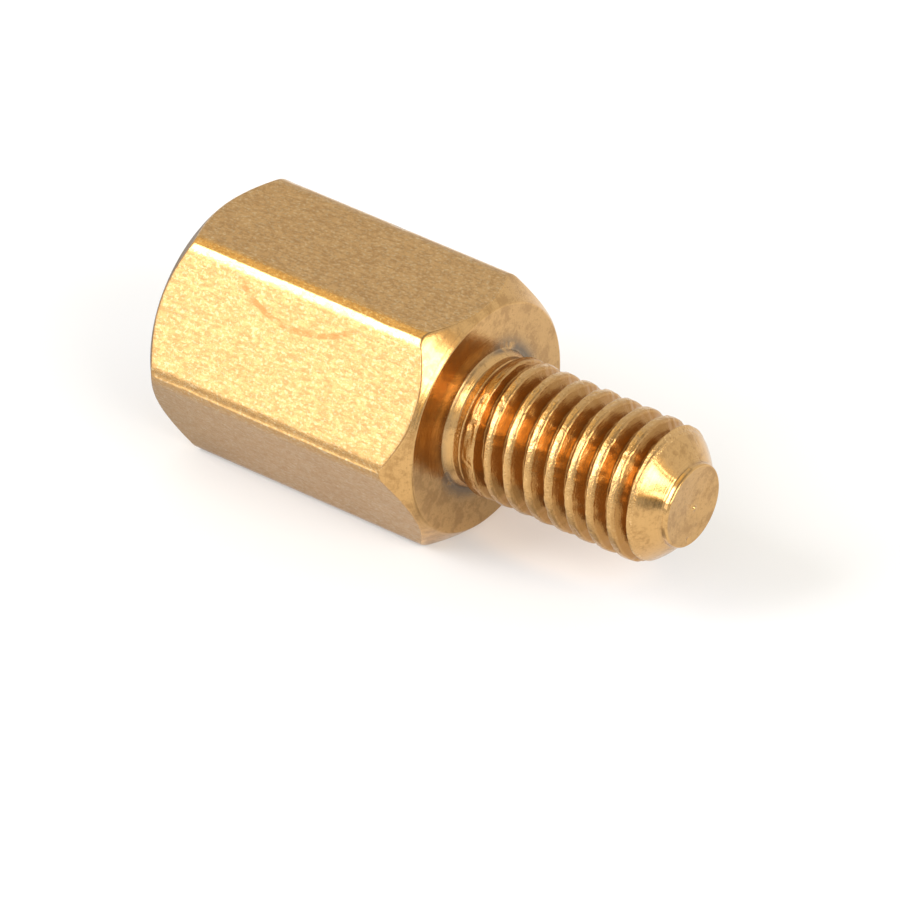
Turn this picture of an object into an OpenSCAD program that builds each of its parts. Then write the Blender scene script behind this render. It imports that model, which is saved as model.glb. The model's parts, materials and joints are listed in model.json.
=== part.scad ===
// Male-female hexagonal standoff, turned and threaded from one piece of brass bar.
// It lies on one of its flats with its axis along X: the stud points to +X, the tapped hole to -X.
// The origin is on the axis, in the plane of the shoulder that a circuit board seats against.

/* [Hexagonal body] */
// Distance across the flats
across_flats = 5; // [4.4:0.1:6]
// Length from the end face round the tapped hole to the shoulder
body_length = 6.5; // [4:0.5:30]
// Radius on the six long corners of the drawn bar
corner_radius = 0.4; // [0.1:0.05:0.6]
// How far each round end face lies inside the flats
face_inset = 0.1; // [0:0.05:0.2]
// Angle of the turned corners at both ends, measured from the end face
corner_angle = 48; // [20:1:50]

/* [Stud] */
// Diameter over the thread
stud_diameter = 2.9; // [2.6:0.05:3.4]
// Length from the shoulder to the tip
stud_length = 5; // [3:0.5:12]
// Distance from one thread crest to the next
pitch = 0.5; // [0.4:0.05:0.7]
// Length of the plain land at the shoulder
land_length = 0.04; // [0.02:0.02:0.1]
// Length of the taper from the land down to the relief
taper_length = 0.14; // [0.1:0.02:0.3]
// Smallest diameter of the relief between the taper and the thread
relief_diameter = 2.68; // [2.3:0.02:2.8]
// Where the relief ends and the thread begins, measured from the shoulder
relief_end = 0.34; // [0.3:0.02:0.6]
// Length over which the groove grows from nothing to its full depth
runout_length = 0.4; // [0.2:0.05:0.8]
// Plain band between the last groove and the point
band_length = 0.08; // [0.06:0.02:0.3]
// Length of the rounded point
point_length = 0.66; // [0.3:0.02:1.2]
// How far the point bulges: 1 gives a straight cone, more gives a rounder one
point_crown = 1.4; // [1:0.05:2]
// Length of the plain tip that the parting tool leaves beyond the point
tip_length = 0.14; // [0.06:0.02:0.4]
// Diameter of the plain tip
tip_diameter = 1.74; // [1:0.02:2]

/* [Tapped hole] */
// Diameter of the drilled hole, before its thread is cut
hole_diameter = 2.5; // [2:0.05:2.8]
// Metal left between the tip of the drill and the shoulder
floor_thickness = 0.75; // [0.5:0.05:2]
// Diameter of the countersunk mouth
mouth_diameter = 3.2; // [3:0.1:3.8]
// Included angle of the countersink
mouth_angle = 90; // [60:10:120]
// Included angle of the drill's point
drill_angle = 118; // [90:1:140]

/* [Hidden] */

// Facets on the turned surfaces, on each rounded corner of the bar and round the thread
turned_facets = 96;
corner_facets = 6;
steps_per_turn = 48;
// Straight pieces that the curve of the point is made of
point_steps = 8;

// Depth of an external metric thread as a share of its pitch
depth_per_pitch = 0.6134;
// Flat on each crest and length of each flank, as shares of the pitch
crest_share = 1 / 8;
flank_share = 5 / 16;
// How far the thread's crests stay inside the band
crest_relief = 0.01;
// Angle at which the thread rises out of the relief
rise_angle = 45;
// How much the relief widens towards the thread, as the tool leaves it
relief_growth = 0.01;
// Overlap where two shapes are joined, and clearance where one cuts another
lap = 0.02;

// Bar
sides = 6;
side_angle = 360 / sides;
flat_radius = across_flats / 2;
sharp_corner_radius = flat_radius / cos(side_angle / 2);
corner_centre_radius = (flat_radius - corner_radius) / cos(side_angle / 2);

// Turned ends
face_radius = flat_radius - face_inset;
turning_radius = sharp_corner_radius + lap;
corner_setback = (turning_radius - face_radius) * tan(corner_angle);

// Stud
stud_radius = stud_diameter / 2;
tip_radius = tip_diameter / 2;
tip_start = stud_length - tip_length;
point_start = tip_start - point_length;
relief_radius = relief_diameter / 2;
root_length = land_length + taper_length;
thread_start = root_length - pitch - lap;
thread_end = point_start - band_length + lap;
thread_turns = ceil((thread_end - thread_start) / pitch);
crest_radius = stud_radius - crest_relief;
thread_depth = pitch * depth_per_pitch;

// One pitch of the thread: distance along it and depth below the crest, as shares of the whole
thread_profile = [
    [0, 0],
    [crest_share, 0],
    [crest_share + flank_share, 1],
    [1 - flank_share, 1]
];

// Tapped hole
hole_radius = hole_diameter / 2;
mouth_radius = mouth_diameter / 2;
drill_point_depth = hole_radius / tan(drill_angle / 2);
hole_depth = body_length - floor_thickness - drill_point_depth;
mouth_depth = (mouth_radius - hole_radius) / tan(mouth_angle / 2);

// Turns a shape that was modelled along Z so that it lies along X
module along_x() {
    rotate([0, 90, 0])
    children();
}

// Outline of the drawn bar, a hexagon with an arc on each corner
function bar_outline() = [
    for (corner = [0 : sides - 1], step = [0 : corner_facets])
        let (
            middle = (corner + 0.5) * side_angle,
            turn = middle + (step / corner_facets - 0.5) * side_angle
        )
        [
            corner_centre_radius * cos(middle) + corner_radius * cos(turn),
            corner_centre_radius * sin(middle) + corner_radius * sin(turn)
        ]
];

// Drawn hexagonal bar, cut to length
module hexagonal_bar() {
    translate([0, 0, -body_length])
    linear_extrude(height = body_length)
    polygon(bar_outline());
}

// Space inside which the lathe leaves the bar, with both ends sloped back at the corners
module turned_ends() {
    rotate_extrude($fn = turned_facets)
    polygon([
        [0, -body_length],
        [face_radius, -body_length],
        [turning_radius, corner_setback - body_length],
        [turning_radius, -corner_setback],
        [face_radius, 0],
        [0, 0]
    ]);
}

module body() {
    intersection() {
        hexagonal_bar();
        turned_ends();
    }
}

// Tapered root of the stud and the relief beside it
module root() {
    rotate_extrude($fn = turned_facets)
    polygon([
        [0, -lap],
        [stud_radius, -lap],
        [stud_radius, land_length],
        [relief_radius, root_length],
        [relief_radius + relief_growth, relief_end],
        [0, relief_end]
    ]);
}

// Outline of the rounded point, from the band to the tip
function point_outline() = [
    for (step = [0 : point_steps])
        let (share = step / point_steps)
        [
            stud_radius - (stud_radius - tip_radius) * pow(share, point_crown),
            point_start + point_length * share
        ]
];

// Plain band, rounded point and plain tip at the end of the stud
module point() {
    band_outline = [[0, point_start - band_length], [stud_radius, point_start - band_length]];
    tip_outline = [[tip_radius, stud_length], [0, stud_length]];
    rotate_extrude($fn = turned_facets)
    polygon(concat(band_outline, point_outline(), tip_outline));
}

// Share of its full depth that the groove has reached at height z
function groove_share(z) = min(1, max(0, (z - root_length) / runout_length));

// Height and radius of the thread's surface at one row of the profile and one step round the axis
function thread_height(row, step) =
    let (
        corners = len(thread_profile),
        turns = floor(row / corners) + thread_profile[row % corners][0]
    )
    thread_start + pitch * (turns + step / steps_per_turn);

function thread_radius(row, step) =
    let (share = thread_profile[row % len(thread_profile)][1])
    crest_radius - thread_depth * share * groove_share(thread_height(row, step));

function thread_point(row, step) =
    let (
        angle = 360 * step / steps_per_turn,
        radius = thread_radius(row, step)
    )
    [radius * cos(angle), radius * sin(angle), thread_height(row, step)];

// Right-hand thread with its core. Each row of points follows the helix, and a row that has
// gone once round the axis meets the row one pitch further on.
module thread() {
    corners = len(thread_profile);
    last_row = corners * thread_turns;
    grid = [
        for (row = [0 : last_row], step = [0 : steps_per_turn - 1])
            thread_point(row, step)
    ];
    run_off = [
        for (row = [last_row - corners + 1 : last_row])
            thread_point(row, steps_per_turn)
    ];
    ends = [
        [0, 0, thread_start],
        [0, 0, thread_height(last_row, steps_per_turn)]
    ];
    first_centre = len(grid) + len(run_off);
    last_centre = first_centre + 1;

    function index(row, step) =
        step < steps_per_turn ? row * steps_per_turn + step
        : row + corners <= last_row ? (row + corners) * steps_per_turn
        : len(grid) + row + corners - last_row - 1;

    lower_halves = [
        for (row = [0 : last_row - 1], step = [0 : steps_per_turn - 1])
            [index(row, step), index(row + 1, step + 1), index(row, step + 1)]
    ];
    upper_halves = [
        for (row = [0 : last_row - 1], step = [0 : steps_per_turn - 1])
            [index(row, step), index(row + 1, step), index(row + 1, step + 1)]
    ];
    first_fan = [
        for (step = [0 : steps_per_turn - 1])
            [first_centre, index(0, step), index(0, step + 1)]
    ];
    last_fan = [
        for (step = [0 : steps_per_turn - 1])
            [last_centre, index(last_row, step + 1), index(last_row, step)]
    ];
    first_step = [
        for (row = [0 : corners - 1])
            [first_centre, index(row + 1, 0), index(row, 0)]
    ];
    last_step = [
        for (row = [last_row - corners : last_row - 1])
            [last_centre, index(row, steps_per_turn), index(row + 1, steps_per_turn)]
    ];
    polyhedron(
        points = concat(grid, run_off, ends),
        faces = concat(lower_halves, upper_halves, first_fan, last_fan, first_step, last_step)
    );
}

// Thread that rises out of the relief and is cut square where it meets the band
module trimmed_thread() {
    rise = stud_radius - relief_radius + lap;
    intersection() {
        thread();
        rotate_extrude($fn = turned_facets)
        polygon([
            [0, relief_end - lap],
            [relief_radius - lap, relief_end - lap],
            [relief_radius + rise, relief_end + (rise + lap) / tan(rise_angle) - lap],
            [relief_radius + rise, thread_end],
            [0, thread_end]
        ]);
    }
}

// Drilled and countersunk hole with the cone that the drill leaves at its bottom
module tapped_hole() {
    translate([0, 0, -body_length])
    rotate_extrude($fn = turned_facets)
    polygon([
        [0, -lap],
        [mouth_radius + lap * tan(mouth_angle / 2), -lap],
        [hole_radius, mouth_depth],
        [hole_radius, hole_depth],
        [0, hole_depth + drill_point_depth]
    ]);
}

module standoff() {
    color("goldenrod")
    along_x()
    difference() {
        union() {
            body();
            root();
            trimmed_thread();
            point();
        }
        tapped_hole();
    }
}

standoff();
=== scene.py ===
import json
import math

import bpy
import numpy as np
from mathutils import Matrix, Vector, noise


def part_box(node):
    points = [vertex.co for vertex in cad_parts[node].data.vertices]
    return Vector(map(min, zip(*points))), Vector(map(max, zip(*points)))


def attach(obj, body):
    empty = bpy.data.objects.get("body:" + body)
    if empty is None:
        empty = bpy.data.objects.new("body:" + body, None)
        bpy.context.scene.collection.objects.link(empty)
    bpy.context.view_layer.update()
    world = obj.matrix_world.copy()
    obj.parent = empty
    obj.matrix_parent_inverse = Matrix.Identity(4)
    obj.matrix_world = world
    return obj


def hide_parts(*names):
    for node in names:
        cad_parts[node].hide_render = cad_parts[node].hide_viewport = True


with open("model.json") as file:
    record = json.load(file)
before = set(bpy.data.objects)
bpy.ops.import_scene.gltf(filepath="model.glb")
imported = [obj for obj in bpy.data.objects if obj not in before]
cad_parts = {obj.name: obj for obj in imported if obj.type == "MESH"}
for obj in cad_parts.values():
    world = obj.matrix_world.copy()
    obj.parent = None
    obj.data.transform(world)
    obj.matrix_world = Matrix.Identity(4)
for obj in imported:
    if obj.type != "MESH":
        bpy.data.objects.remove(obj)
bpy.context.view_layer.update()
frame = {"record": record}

bl_info = {
    "name": "Brass hex standoff",
    "version": (1, 0, 0),
    "blender": (4, 5, 0),
    "location": "3D View > Sidebar > Standoff",
    "description": "A turned and threaded brass standoff on a studio table",
    "category": "Object",
}

# Names in the frame: the solid that the piece stands for and its body
PIECE = "standoff"
BODY = "root"

# One millimetre in metres
MM = 0.001

# Box of the solid, and the radii of its mounts
LOWEST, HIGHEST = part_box(PIECE)
MOUNTS = {mount["name"]: mount for mount in frame["record"]["mounts"]}
STUD_RADIUS = MOUNTS["stud"]["dims"]["r_mm"] * MM
HOLE_RADIUS = MOUNTS["tapped_hole"]["dims"]["r_mm"] * MM

# The hexagonal bar. Angles are counted round +X from +Y towards +Z, and a corner lies at 0.
SIDES = 6
SECTOR = math.radians(360 / SIDES)


def length(name, about, default):
    """A length that the sidebar shows in the scene's unit."""
    return bpy.props.FloatProperty(
        name=name, description=about, default=default, unit="LENGTH", subtype="DISTANCE",
        precision=5, min=0.0,
    )


def share(name, about, default):
    """A part of a whole, from 0 to 1."""
    return bpy.props.FloatProperty(
        name=name, description=about, default=default, min=0.0, max=1.0, subtype="FACTOR"
    )


def number(name, about, default, lowest=0.0):
    """A plain number, such as the brightness of a lamp."""
    return bpy.props.FloatProperty(name=name, description=about, default=default, min=lowest)


def degrees(name, about, default):
    """An angle, given here in degrees."""
    return bpy.props.FloatProperty(
        name=name, description=about, default=math.radians(default), unit="ROTATION",
        subtype="ANGLE",
    )


def tint(name, about, default):
    """A colour in linear light."""
    return bpy.props.FloatVectorProperty(
        name=name, description=about, default=default, size=3, subtype="COLOR", min=0.0, max=1.0
    )


class StandoffBody(bpy.types.PropertyGroup):
    """Sizes of the hexagonal bar and its turned ends."""

    across_flats: length("Across flats", "Distance between two opposite flats", HIGHEST.z - LOWEST.z)
    body_length: length("Body length", "From the shoulder to the end face", -LOWEST.x)
    corner_radius: length("Corner radius", "Radius on the long corners of the bar", 0.4 * MM)
    face_inset: length("Face inset", "How far the round end faces lie inside the flats", 0.1 * MM)
    corner_angle: degrees("Corner angle", "Slope of the corners turned at the shoulder", 48)
    far_angle: degrees("Far angle", "Slope of the corners turned at the tapped end", 41)
    edge_round: length("Edge round", "Size of the worn edge between two surfaces", 0.02 * MM)


class StandoffStud(bpy.types.PropertyGroup):
    """Sizes of the stud and its thread."""

    diameter: length("Diameter", "Over the crests of the thread", 2 * STUD_RADIUS)
    stud_length: length("Length", "From the shoulder to the tip", HIGHEST.x)
    pitch: length("Pitch", "From one crest to the next", 0.5 * MM)
    thread_depth: length("Thread depth", "From crest to root", 0.275 * MM)
    crest_width: share("Crest width", "Flat on the crests, as a share of the pitch", 0.26)
    crest_dome: length("Crest dome", "Fall across each crest towards the tip", 0.014 * MM)
    root_diameter: length("Root diameter", "Tapered root at the shoulder", 2.92 * MM)
    root_length: length("Root length", "Of the root's taper", 0.18 * MM)
    relief_diameter: length("Relief diameter", "Plain part beside the root", 2.68 * MM)
    relief_end: length("Relief end", "Where the thread rises out of it", 0.36 * MM)
    ridge_height: length("Ridge height", "Fine ridge left in the relief", 0.018 * MM)
    runout_length: length("Run-out length", "Over which the groove gets deeper", 0.65 * MM)
    point_length: length("Point length", "Length of the rounded point", 0.66 * MM)
    tip_length: length("Tip length", "Plain tip beyond the point", 0.14 * MM)
    tip_diameter: length("Tip diameter", "Of the plain tip", 1.74 * MM)
    first_crest: length("First crest", "Place of a crest on the +Y side", 0.290 * MM)
    crest_wear: length("Crest wear", "Depth of the dents along the crests", 0.014 * MM)


class StandoffHole(bpy.types.PropertyGroup):
    """Sizes of the tapped hole."""

    diameter: length("Diameter", "Drilled hole, before the thread", 2 * HOLE_RADIUS)
    thread_depth: length("Thread depth", "From the hole's wall to the groove", 0.22 * MM)
    floor_thickness: length("Floor", "Metal between the drill's tip and the shoulder", 0.75 * MM)
    mouth_diameter: length("Mouth", "Diameter of the countersink", 3.2 * MM)
    drill_angle: degrees("Drill angle", "Included angle of the drill's point", 118)
    tapped_length: length("Tapped length", "From the end face to the last full thread", 4.2 * MM)


class StandoffFinish(bpy.types.PropertyGroup):
    """Colours and wear of the brass, with the colours of its painted shade."""

    brass: tint("Brass", "Clean metal", (0.65, 0.392, 0.155))
    tarnish: tint("Tarnish", "Metal that has browned", (0.40, 0.22, 0.08))
    # Grey of the painted shade in corners, on the flats that face down and on the shoulder
    grey_shade: tint("Grey shade", "Grey film left in the corners", (0.19, 0.155, 0.12))
    # Colour low in the thread: browned metal, darkened further as painted shade
    root: tint("Root", "Browned metal low in the thread", (0.40, 0.205, 0.065))
    rub: tint("Rub mark", "Copper-red curved mark on one flat", (0.66, 0.23, 0.08))
    roughness: share("Roughness", "Of the drawn flats", 0.33)
    turned_roughness: share("Turned roughness", "Of the lathe-cut surfaces", 0.14)


class StandoffStudio(bpy.types.PropertyGroup):
    """Camera, table and lamps."""

    azimuth: degrees("Azimuth", "Camera's turn round the object from -Y towards +X", 37.358)
    elevation: degrees("Elevation", "Camera's height above the horizon", 34.421)
    roll: degrees("Roll", "Camera's turn about its own axis", -0.049)
    distance: length("Distance", "From the camera to the point it looks at", 191.33 * MM)
    lens: number("Lens", "Focal length in millimetres", 389.87, lowest=1.0)
    key_level: number("Key level", "Brightness of the left soft box", 7.2)
    low_level: number("Low level", "Brightness of the low box beside it", 1.3)
    fill_level: number("Fill level", "Brightness of the right soft box", 6.0)
    room_level: number("Room level", "Brightness of the room's walls", 0.76)
    table: tint("Table", "Pale card under the object", (0.62, 0.625, 0.645))


# ---------------------------------------------------------------- shape of the piece

# Finishes of the piece, which are the numbers of its material slots
DRAWN, TURNED, THREAD = range(3)


def smoother(low, high, value):
    """0 below low, 1 above high and an even curve between them."""
    t = np.clip((value - low) / (high - low), 0.0, 1.0)
    return t * t * (3 - 2 * t)


def soft_lower(a, b, width):
    """The lower of two heights, rounded where they cross."""
    h = np.clip(0.5 + 0.5 * (b - a) / width, 0.0, 1.0)
    return b + (a - b) * h - width * h * (1 - h)


def between(rise, fall, value):
    """1 between two soft borders and 0 outside them."""
    return smoother(*rise, value) * (1 - smoother(*fall, value))


def lumps(where, size, seed):
    """Smooth noise between about -1 and 1 at points, with features of the given size."""
    flat = (where / size + seed).reshape(-1, 3)
    found = np.array([noise.noise(Vector(point)) for point in flat])
    return found.reshape(where.shape[:-1])


class Rings:
    """Closed surface made of rings round the X axis, each with one point for each angle."""

    # Masks on the mesh: worn edges; browning and painted shade low in grooves and corners; and a
    # grey tone that is painted shade on the flats and the shoulder
    masks = ("edge_wear", "corner_dirt", "film")

    def __init__(self, angles):
        self.angles = angles
        self.x, self.r, self.finish = [], [], []
        self.values = {name: [] for name in self.masks}

    def spread(self, value):
        """One number for each angle."""
        return np.broadcast_to(np.asarray(value, float), len(self.angles))

    def add(self, x, r, finish, **masks):
        """Adds one ring with its finish. A mask that isn't given is 0 on it."""
        self.x.append(self.spread(x))
        self.r.append(self.spread(r))
        self.finish.append(finish)
        for name in self.masks:
            self.values[name].append(self.spread(masks.get(name, 0.0)))

    def mesh(self, name, tip, bottom):
        """Mesh with a centre point at each end. Each band takes the finish of its first ring."""
        rings, count = len(self.x), len(self.angles)
        tip_point, bottom_point = rings * count, rings * count + 1
        x, r = np.array(self.x), np.array(self.r)
        y, z = r * np.cos(self.angles), r * np.sin(self.angles)
        points = np.stack([x, y, z], axis=-1).reshape(-1, 3)
        points = np.vstack([points, [tip, 0, 0], [bottom, 0, 0]])
        column = np.arange(count)
        after = (column + 1) % count
        faces, finishes = [], []
        for ring in range(rings - 1):
            a, b = ring * count, (ring + 1) * count
            band = np.stack([a + column, b + column, b + after, a + after], axis=-1)
            faces.extend(band.tolist())
            finishes.extend([self.finish[ring]] * count)
        last = (rings - 1) * count
        faces.extend([[tip_point, c, n] for c, n in zip(column, after)])
        finishes.extend([self.finish[0]] * count)
        faces.extend([[bottom_point, last + n, last + c] for c, n in zip(column, after)])
        finishes.extend([self.finish[-1]] * count)
        mesh = bpy.data.meshes.new(name)
        mesh.from_pydata(points.tolist(), [], faces)
        mesh.polygons.foreach_set("material_index", finishes)
        mesh.polygons.foreach_set("use_smooth", [True] * len(faces))
        for label, values in self.values.items():
            layer = mesh.attributes.new(label, "FLOAT", "POINT")
            flat = np.append(np.array(values).ravel(), [0.0, 0.0])
            layer.data.foreach_set("value", flat.astype(np.float32))
        mesh.update()
        return mesh


# Points round each rounded corner of the bar and across each flat
CORNER_POINTS = 11
FLAT_POINTS = 20


def rounded_corner(body):
    """Distance from the axis to the centre of a corner's arc, and half the angle it spans."""
    rho = body.corner_radius
    centre = (body.across_flats / 2 - rho) / math.cos(SECTOR / 2)
    half = math.atan2(rho * math.sin(SECTOR / 2), centre + rho * math.cos(SECTOR / 2))
    return centre, half


def ring_angles(body):
    """Angles round the axis, close together on the six rounded corners of the bar."""
    _, half = rounded_corner(body)
    flat_start = half * 1.2
    rounded = np.linspace(-half, half, CORNER_POINTS)
    flat = np.linspace(flat_start, SECTOR - flat_start, FLAT_POINTS)
    sector = np.concatenate([rounded, flat])
    return np.concatenate([sector + k * SECTOR for k in range(SIDES)])


def bar_radius(body, angles):
    """Radius of the hexagonal bar at each angle, and how much of it is a rounded corner."""
    rho = body.corner_radius
    centre, half = rounded_corner(body)
    off = np.abs((angles + SECTOR / 2) % SECTOR - SECTOR / 2)
    arc = centre * np.cos(off) + np.sqrt(np.maximum(rho**2 - (centre * np.sin(off)) ** 2, 0))
    side = body.across_flats / 2 / np.cos(SECTOR / 2 - off)
    return np.where(off < half * 1.001, arc, side), np.clip(1.15 - off / half, 0.0, 1.0)


def off_crest(x, angles, pitch, first):
    """Distance past the nearest crest of a right-hand thread, in pitches."""
    turn = (x - first) / pitch - angles / (2 * math.pi)
    return turn - np.round(turn)


def groove_height(off, crest_flat, root_flat, rounding):
    """Share of the height above the root, where the groove has straight, sloping sides."""
    height = (0.5 - root_flat / 2 - np.abs(off)) / (0.5 - root_flat / 2 - crest_flat / 2)
    return -soft_lower(-soft_lower(height, 1.0, rounding), 0.0, rounding)


# Above 1, the point bulges outside a straight cone
POINT_CROWN = 1.4

# How far the middle of the tip's face and its rim lie behind the longest point of the stud
FACE_SUNK, RIM_SUNK = 0.064 * MM, 0.007 * MM

# Rings of the tip's face as shares of its radius, close together at the pip
TIP_FACE_PARTS = (0.02, 0.05, *np.linspace(0.08, 0.22, 15), *np.linspace(0.25, 0.94, 28))

# Worn edge of the tip in millimetres: how far each ring lies behind the tip and inside its rim
TIP_EDGE = ((0.010, 0.040), (0.012, 0.026), (0.024, 0.012), (0.042, 0.004))

# Uneven rim of the tip: how far a side stands out in millimetres, and its borders in degrees
RIM_SIDES = ((-0.02, (86, 98), (139, 145)), (0.01, (143, 149), (205, 240)))


def tip_edge(stud, angles):
    """Radius of the plain tip, which the parting tool left uneven."""
    turn = np.degrees(angles)
    uneven = sum(step * between(rise, fall, turn) for step, rise, fall in RIM_SIDES)
    return stud.tip_diameter / 2 + uneven * MM


def add_point(rings, stud):
    """Plain tip of the stud, a little sunk inside its rim."""
    tip, rim = stud.stud_length, tip_edge(stud, rings.angles)
    for part in TIP_FACE_PARTS:
        sunk = FACE_SUNK + (RIM_SUNK - FACE_SUNK) * part
        rings.add(tip - sunk, rim * part, TURNED, film=0.10)
    for back, inside in TIP_EDGE:
        rings.add(tip - back * MM, rim - inside * MM, TURNED, edge_wear=1.0)
    for part in (0.45, 0.65, 0.85):
        rings.add(tip - stud.tip_length * part, rim, TURNED)


# Spacing of the rings along the stud: on the point, where the groove runs out, on the thread
# and at the root
POINT_SPACING = 0.03 * MM
RUNOUT_SPACING = 0.0125 * MM
THREAD_SPACING = 0.016 * MM
ROOT_SPACING = 0.02 * MM

# Marks of the tools beside the root: a fine ridge and a shallow hollow, by place and width
RIDGE_AT, RIDGE_WIDTH = 0.325 * MM, 0.018 * MM
HOLLOW_AT, HOLLOW_WIDTH, HOLLOW_DEPTH = 0.245 * MM, 0.035 * MM, 0.02 * MM

# How far the stud is turned over the height of its crests
TURNED_OVER = 0.01 * MM

# Fine cuts on the point, where the last groove runs out, and the borders of what they cover
CUT_AT = 0.10 * MM
CUT_SPACING = 0.13 * MM
CUT_DEPTH = 0.009 * MM
CUT_BORDERS = ((0.02, 0.08), (0.30, 0.40))

# The groove starts this far before the end of the relief, and fades out on the point
GROOVE_LEAD = 0.06 * MM
GROOVE_FADES = (0.10 * MM, 0.36 * MM)

# How far the first crests are pushed towards the tip, and where that push fades out
CREST_PUSH = 0.07 * MM
PUSH_FADES = (0.3 * MM, 1.6 * MM)

# How far the crests wander, as a share of the pitch, and the depth of the lumps on them
CREST_WANDER = 0.035
CREST_LUMPS = 0.003 * MM

# The small dents along the crests are this much deeper than the broad ones
SMALL_DENTS = 1.8

# Share of the crests' wear in the relief and on the point, and where it grows and fades
LEAST_WEAR = 0.25
WEAR_GROWS = (0.35 * MM, 0.5 * MM)
WEAR_FADES = (0.0, 0.3)

# How far the thread's finish reaches onto the point
THREAD_FINISH = 0.28 * MM

# Browned metal beside the root: its share in the relief and how much more of it there is on the
# first crest. It starts round the end of the taper, darkens and fades out along the stud.
BROWN_RELIEF = 0.12
BROWN_MORE = 0.14
BROWN_STARTS = (-0.01 * MM, 0.04 * MM)
BROWN_DARKENS = (0.32 * MM, 0.42 * MM)
BROWN_FADES = (0.45 * MM, 0.95 * MM)

# Share of browning and painted shade on the crests' sides towards the tip, and of the painted dark
# line in the crease round the end of the point
BROWN_AND_SHADE_SIDES = 0.18
SHADE_LINE = 0.15
LINE_STARTS = (0.94, 0.99)

# Where the painted grey shade beside the shoulder fades out
SHADE_FADES = (0.03 * MM, 0.12 * MM)


def start_of_point(stud):
    """Place along the axis where the point begins."""
    return stud.stud_length - stud.tip_length - stud.point_length


def stud_rows(stud):
    """Places along the stud, close together wherever the thread or a fine mark runs."""
    point = start_of_point(stud)
    runout, root, shoulder = point + 0.32 * MM, 0.20 * MM, 0.004 * MM
    return np.concatenate([
        np.arange(stud.stud_length - stud.tip_length, runout, -POINT_SPACING),
        np.arange(runout, point, -RUNOUT_SPACING),
        np.arange(point, root, -THREAD_SPACING),
        np.arange(root, shoulder, -ROOT_SPACING),
    ])


def swell(x, middle, width):
    """Smooth hump, 1 high, round a place along the axis."""
    return np.exp(-(((x - middle) / width) ** 2))


def turned_stud(stud, x, along_point, rim):
    """Radius of the stud as the lathe leaves it: taper, relief, full width and point."""
    crest = stud.diameter / 2
    root = np.interp(x, [0.0, stud.root_length], [stud.root_diameter, stud.relief_diameter]) / 2
    relief = root + stud.ridge_height * swell(x, RIDGE_AT, RIDGE_WIDTH)
    relief = relief - HOLLOW_DEPTH * swell(x, HOLLOW_AT, HOLLOW_WIDTH)
    rise = stud.relief_diameter / 2 + np.maximum(x - stud.relief_end, 0.0)
    turned = soft_lower(np.maximum(relief, rise), crest, width=0.03 * MM)
    full = crest + TURNED_OVER
    point = full - (full - rim) * along_point**POINT_CROWN
    turned = soft_lower(turned, point, width=0.02 * MM)
    cuts = 1 - np.cos((x - start_of_point(stud) - CUT_AT) * 2 * math.pi / CUT_SPACING)
    return turned - CUT_DEPTH * between(*CUT_BORDERS, along_point) * cuts


def groove_reach(stud, x):
    """Share of its full depth that the groove has: it grows out of the relief and runs out."""
    grown = smoother(stud.relief_end - GROOVE_LEAD, stud.relief_end + stud.runout_length, x)
    fade_start, fade_end = (start_of_point(stud) + fade for fade in GROOVE_FADES)
    return grown * (1 - smoother(fade_start, fade_end, x))


def crest_dents(stud, where):
    """Depth of the small and the broad dents along the crests."""
    small = np.maximum(lumps(where, size=0.12 * MM, seed=3.7), 0) * stud.crest_wear * SMALL_DENTS
    broad = np.maximum(lumps(where, size=0.5 * MM, seed=11.3), 0) * stud.crest_wear
    return small + broad


def stud_browning_and_shade(stud, x, below, along_point, angles):
    """Browning and painted shade low in the thread, browning by the root, the painted dark line
    round the end of the point, and painted grey shade at the shoulder.
    """
    # Painted dark line in the crease round the end of the point
    below = np.maximum(below, SHADE_LINE * smoother(*LINE_STARTS, along_point))
    start, full = (stud.root_length + border for border in BROWN_STARTS)
    browned = BROWN_RELIEF + BROWN_MORE * smoother(*BROWN_DARKENS, x)
    browned = smoother(start, full, x) * browned * (1 - smoother(*BROWN_FADES, x))
    below = np.maximum(below, browned)
    # Painted grey shade at the root, by the shoulder
    shaded_root = gathered_shade(angles) * (1 - smoother(*SHADE_FADES, x))
    return np.where(x > stud.root_length, below, shaded_root)


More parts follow.
